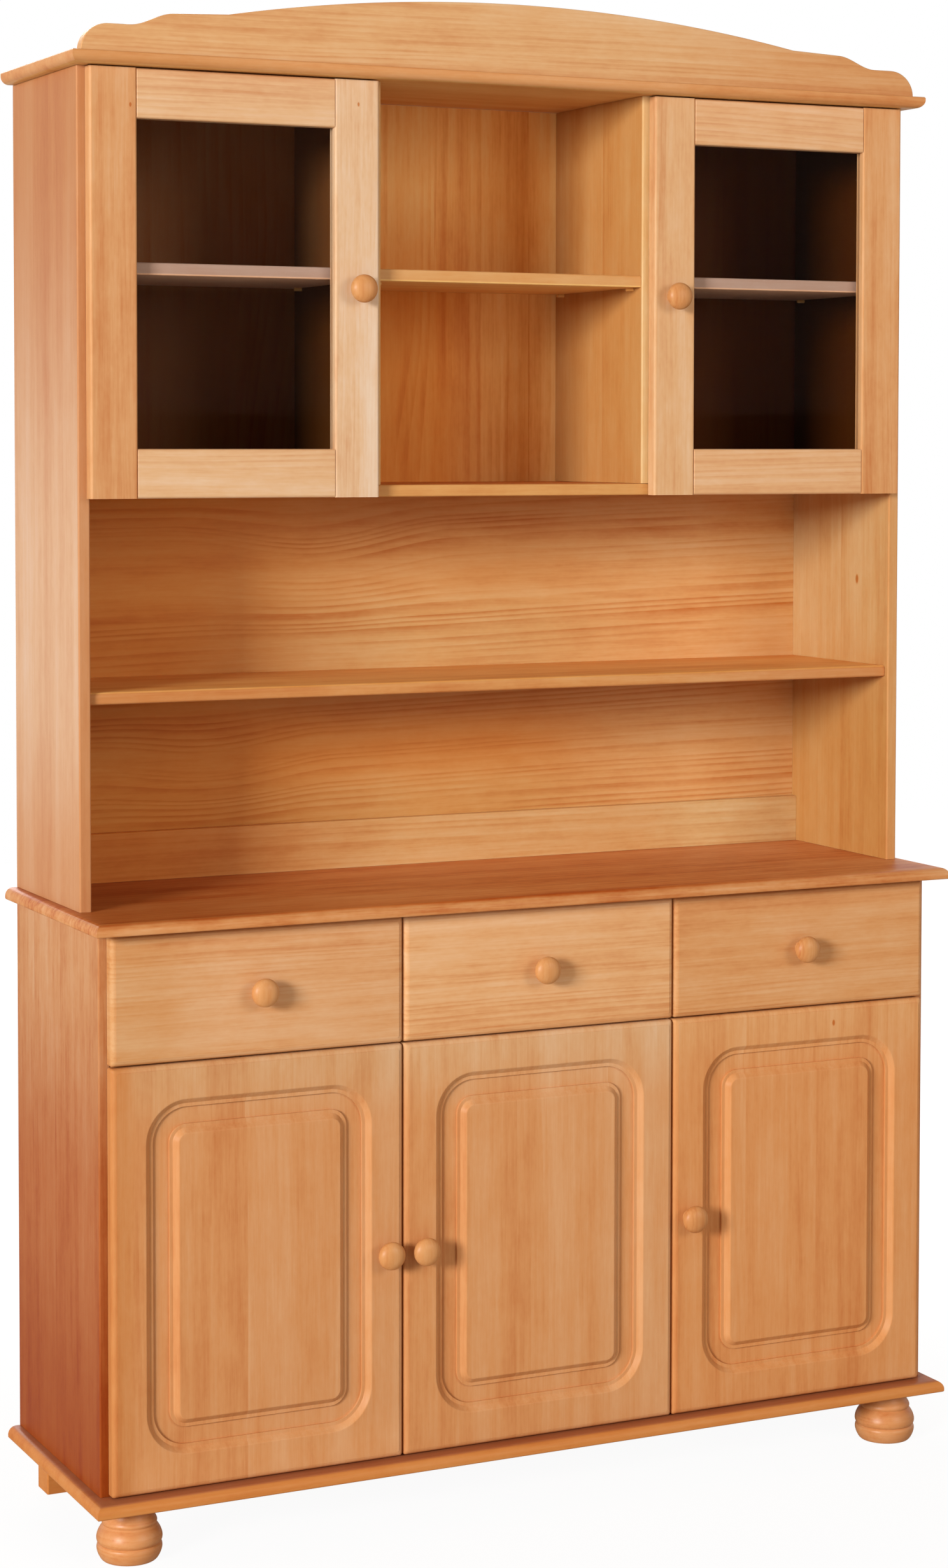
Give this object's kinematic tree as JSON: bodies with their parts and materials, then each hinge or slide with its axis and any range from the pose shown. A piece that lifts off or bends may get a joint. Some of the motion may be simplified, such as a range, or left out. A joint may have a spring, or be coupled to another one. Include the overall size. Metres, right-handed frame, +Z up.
{
  "type": "sideboard",
  "caption": "Two-part pine dresser: panelled doors and drawers in the base, open shelf and glazed cupboards in the hutch, on turned feet.",
  "frame": {"origin": "on the floor under the middle of the dresser's box", "axes": "+Z up, +Y towards the wall behind, so the doors face -Y; +X to the right seen from the front"},
  "size_m": [1.2, 0.3598, 1.9028],
  "materials": {
    "pine": "honey pine, satin lacquer",
    "pine_inside": "darker stained boards inside, satin lacquer",
    "plywood": "raw plywood and solid pine drawer box",
    "glass": "clear float glass",
    "steel": "plated steel"
  },
  "bodies": {
    "carcass": {"plinth_board": "pine", "foot_front_left": "pine", "foot_front_right": "pine", "foot_rear_left": "pine", "foot_rear_right": "pine", "base_side_left": "pine", "base_side_right": "pine", "base_partition": "pine", "drawer_divider": "pine", "tier_board_left": "pine_inside", "tier_board_right": "pine_inside", "base_shelf_left": "pine_inside", "base_shelf_right": "pine_inside", "base_back": "pine_inside", "base_top_board": "pine", "hutch_side_left": "pine", "hutch_side_right": "pine", "cornice_board": "pine", "crest_board": "pine", "cabinet_floor": "pine", "hutch_partition_left": "pine", "hutch_partition_right": "pine", "hutch_shelf_left": "pine_inside", "hutch_shelf_centre": "pine_inside", "hutch_shelf_right": "pine_inside", "open_shelf": "pine", "hutch_back_upper": "pine_inside", "hutch_back_lower": "pine_inside", "rear_rail": "pine", "hinge_door_left_bottom": "steel", "hinge_door_left_top": "steel", "hinge_door_middle_bottom": "steel", "hinge_door_middle_top": "steel", "hinge_door_right_bottom": "steel", "hinge_door_right_top": "steel", "hinge_glazed_left_bottom": "steel", "hinge_glazed_left_top": "steel", "hinge_glazed_right_bottom": "steel", "hinge_glazed_right_top": "steel"},
    "drawer_left": {"drawer_front_left": "pine", "drawer_box_left": "plywood", "drawer_knob_left": "pine"},
    "drawer_middle": {"drawer_front_middle": "pine", "drawer_box_middle": "plywood", "drawer_knob_middle": "pine"},
    "drawer_right": {"drawer_front_right": "pine", "drawer_box_right": "plywood", "drawer_knob_right": "pine"},
    "door_left": {"door_left": "pine", "door_knob_left": "pine"},
    "door_middle": {"door_middle": "pine", "door_knob_middle": "pine"},
    "door_right": {"door_right": "pine", "door_knob_right": "pine"},
    "glazed_left": {"glazed_frame_left": "pine", "glass_pane_left": "glass", "glazed_knob_left": "pine"},
    "glazed_right": {"glazed_frame_right": "pine", "glass_pane_right": "glass", "glazed_knob_right": "pine"}
  },
  "joints": [
    {"name": "drawer_left_slide", "type": "slide", "parent": "carcass", "child": "drawer_left", "axis": [0, -1, 0], "range_m": [0, 0.24]},
    {"name": "drawer_middle_slide", "type": "slide", "parent": "carcass", "child": "drawer_middle", "axis": [0, -1, 0], "range_m": [0, 0.24]},
    {"name": "drawer_right_slide", "type": "slide", "parent": "carcass", "child": "drawer_right", "axis": [0, -1, 0], "range_m": [0, 0.24]},
    {"name": "door_left_hinge", "type": "hinge", "parent": "carcass", "child": "door_left", "pos_m": [-0.5695, -0.14895, 0.085], "axis": [0, 0, -1], "range_deg": [0, 95]},
    {"name": "door_middle_hinge", "type": "hinge", "parent": "carcass", "child": "door_middle", "pos_m": [0.1865, -0.14895, 0.085], "axis": [0, 0, 1], "range_deg": [0, 95]},
    {"name": "door_right_hinge", "type": "hinge", "parent": "carcass", "child": "door_right", "pos_m": [0.5695, -0.14895, 0.085], "axis": [0, 0, 1], "range_deg": [0, 95]},
    {"name": "glazed_left_hinge", "type": "hinge", "parent": "carcass", "child": "glazed_left", "pos_m": [-0.5695, -0.08295, 1.2815], "axis": [0, 0, -1], "range_deg": [0, 95]},
    {"name": "glazed_right_hinge", "type": "hinge", "parent": "carcass", "child": "glazed_right", "pos_m": [0.5695, -0.08295, 1.2815], "axis": [0, 0, 1], "range_deg": [0, 95]}
  ]
}
